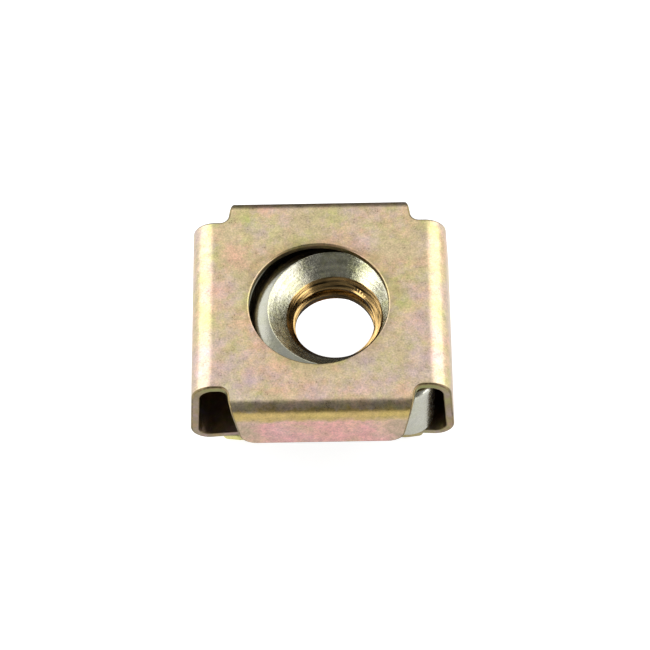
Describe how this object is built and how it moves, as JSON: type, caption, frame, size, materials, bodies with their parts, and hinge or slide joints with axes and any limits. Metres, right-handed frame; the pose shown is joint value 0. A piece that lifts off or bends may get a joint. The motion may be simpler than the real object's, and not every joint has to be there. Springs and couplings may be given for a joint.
{
  "type": "rack cage nut",
  "caption": "Loose square threaded nut held in a folded sheet-steel cage whose two hooked lugs snap into a square panel hole.",
  "frame": {"origin": "under the middle of the closed plate, at the level that the undersides of the two hooked lugs rest on", "axes": "+Z from the lugs up to the closed plate, +X from one lug to the other, across the rolled side loops, -Y towards the flange seen in the picture"},
  "size_m": [0.0162, 0.0154, 0.0089],
  "materials": {
    "cage": "spring steel, zinc plated with a golden iridescent passivation",
    "square_nut": "zinc plated with a clear, slightly green passivation"
  },
  "bodies": {
    "root": {"cage": "cage", "square_nut": "square_nut"}
  },
  "joints": []
}
